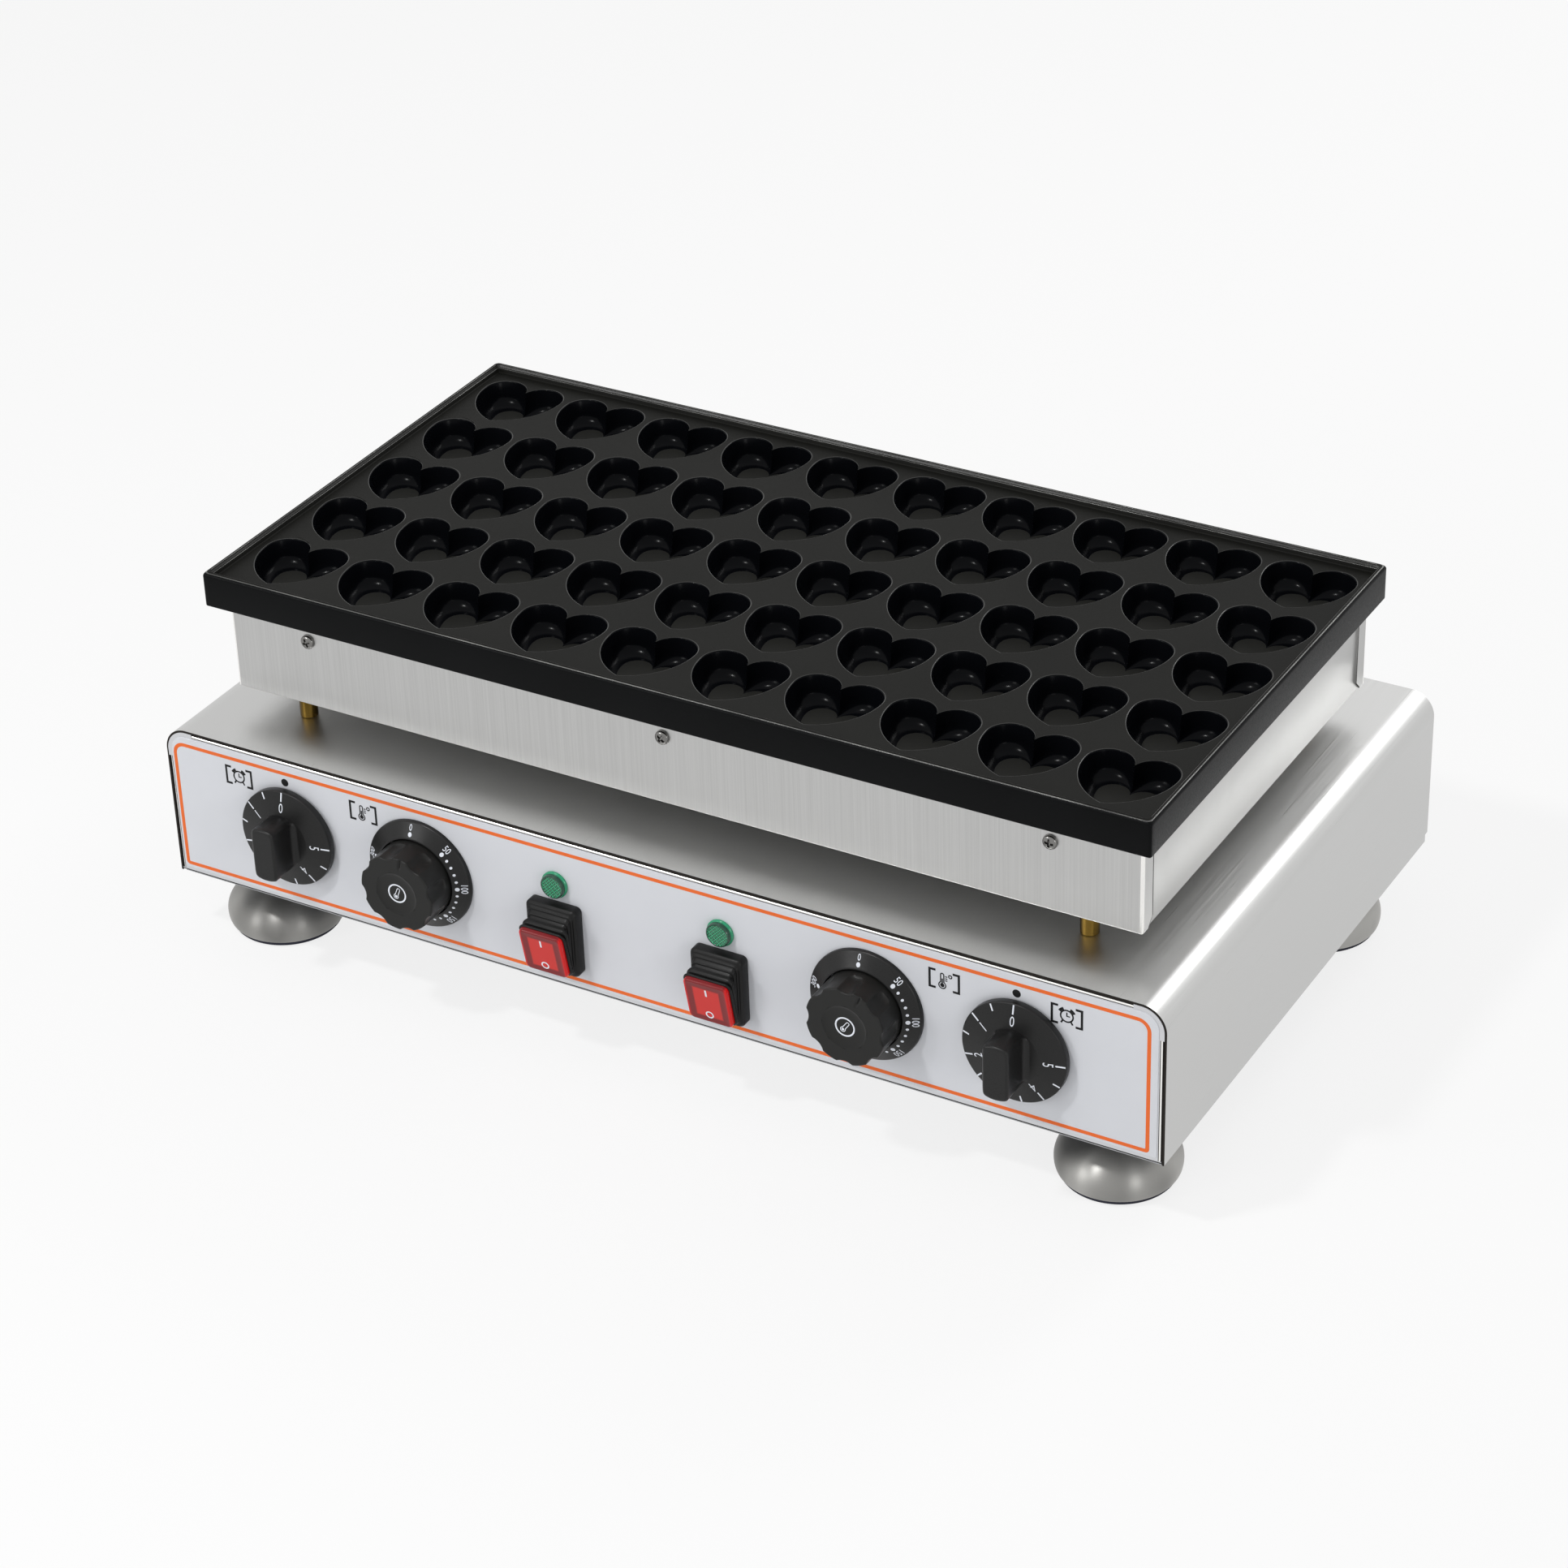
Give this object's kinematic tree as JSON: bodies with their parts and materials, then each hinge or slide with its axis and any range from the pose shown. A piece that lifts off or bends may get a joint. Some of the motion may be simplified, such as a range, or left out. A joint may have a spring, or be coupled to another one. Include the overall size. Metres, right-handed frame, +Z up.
{
  "type": "heart waffle machine",
  "caption": "Countertop heart waffle machine: a cast plate of heart cups on a heated steel casing over a control body with knobs, rocker switches and domed feet.",
  "frame": {"origin": "middle of the machine on the table, under the middle of its bounding box", "axes": "+X along the long side to the right as seen from the controls, +Y to the back, +Z up"},
  "size_m": [0.6, 0.3882, 0.222],
  "materials": {
    "cast_plate": "cast, milled and seasoned, semi-gloss in the cups",
    "brushed_steel": "long grain brushed stainless sheet",
    "galvanised_sheet": "dull galvanised",
    "bright_steel": "bright zinc plated",
    "foot_steel": "satin polished stainless pressing",
    "fibre_board": "pressed ceramic fibre",
    "element_sheath": "oxidised stainless sheath",
    "copper": "drawn copper",
    "brass": "turned brass",
    "overlay_film": "pale grey printed film",
    "black_rubber": "matt rubber",
    "black_knob": "fine-textured black moulding",
    "pale_moulding": "heat-proof moulding",
    "black_moulding": "plain black moulding",
    "red_rocker": "translucent red, polished",
    "green_lens": "translucent green, polished",
    "white_ceramic": "glazed white"
  },
  "bodies": {
    "root": {"baking_plate": "cast_plate", "casing_front": "brushed_steel", "casing_rear": "brushed_steel", "casing_left": "brushed_steel", "casing_right": "brushed_steel", "casing_base": "galvanised_sheet", "casing_screws": "bright_steel", "insulation_board": "fibre_board", "element_left": "element_sheath", "element_right": "element_sheath", "element_clamps": "galvanised_sheet", "clamp_screws": "bright_steel", "sensor_left": "copper", "sensor_right": "copper", "sensor_clips": "galvanised_sheet", "wire_conduits": "galvanised_sheet", "standoff_studs": "bright_steel", "standoff_sleeves": "brass", "standoff_nuts": "bright_steel", "body_shell": "brushed_steel", "front_panel": "brushed_steel", "panel_overlay": "overlay_film", "rear_panel": "brushed_steel", "bottom_cover": "galvanised_sheet", "bottom_cover_screws": "bright_steel", "foot_shells": "foot_steel", "foot_pads": "black_rubber", "foot_bolts": "bright_steel", "foot_nuts": "bright_steel", "timer_left_body": "pale_moulding", "timer_right_body": "pale_moulding", "thermostat_left_body": "pale_moulding", "thermostat_right_body": "pale_moulding", "thermostat_left_bezel": "black_knob", "thermostat_right_bezel": "black_knob", "control_nuts": "bright_steel", "switch_left_body": "black_moulding", "switch_right_body": "black_moulding", "switch_left_boot": "black_rubber", "switch_right_boot": "black_rubber", "lamp_lenses": "green_lens", "lamp_bodies": "pale_moulding", "terminal_block": "white_ceramic", "cable_gland": "black_moulding", "gland_nut": "black_moulding", "earth_terminal": "brass"},
    "timer_left": {"timer_left_shaft": "bright_steel", "timer_left_knob": "black_knob"},
    "thermostat_left": {"thermostat_left_shaft": "bright_steel", "thermostat_left_knob": "black_knob"},
    "switch_left": {"switch_left_rocker": "red_rocker"},
    "timer_right": {"timer_right_shaft": "bright_steel", "timer_right_knob": "black_knob"},
    "thermostat_right": {"thermostat_right_shaft": "bright_steel", "thermostat_right_knob": "black_knob"},
    "switch_right": {"switch_right_rocker": "red_rocker"}
  },
  "joints": [
    {"name": "timer_left_turn", "type": "hinge", "parent": "root", "child": "timer_left", "pos_m": [-0.22, -0.16761, 0.0868], "axis": [0, 1, 0], "range_deg": [0, 270]},
    {"name": "thermostat_left_turn", "type": "hinge", "parent": "root", "child": "thermostat_left", "pos_m": [-0.135, -0.16761, 0.0868], "axis": [0, 1, 0], "range_deg": [-14, 271]},
    {"name": "switch_left_rock", "type": "hinge", "parent": "root", "child": "switch_left", "pos_m": [-0.05, -0.16661, 0.07335], "axis": [-1, 0, 0], "range_deg": [0, 24], "deforming": ["switch_left_boot"]},
    {"name": "timer_right_turn", "type": "hinge", "parent": "root", "child": "timer_right", "pos_m": [0.22, -0.16761, 0.0868], "axis": [0, 1, 0], "range_deg": [0, 270]},
    {"name": "thermostat_right_turn", "type": "hinge", "parent": "root", "child": "thermostat_right", "pos_m": [0.135, -0.16761, 0.0868], "axis": [0, 1, 0], "range_deg": [-28, 257]},
    {"name": "switch_right_rock", "type": "hinge", "parent": "root", "child": "switch_right", "pos_m": [0.05, -0.16661, 0.07335], "axis": [-1, 0, 0], "range_deg": [0, 24], "deforming": ["switch_right_boot"]}
  ]
}
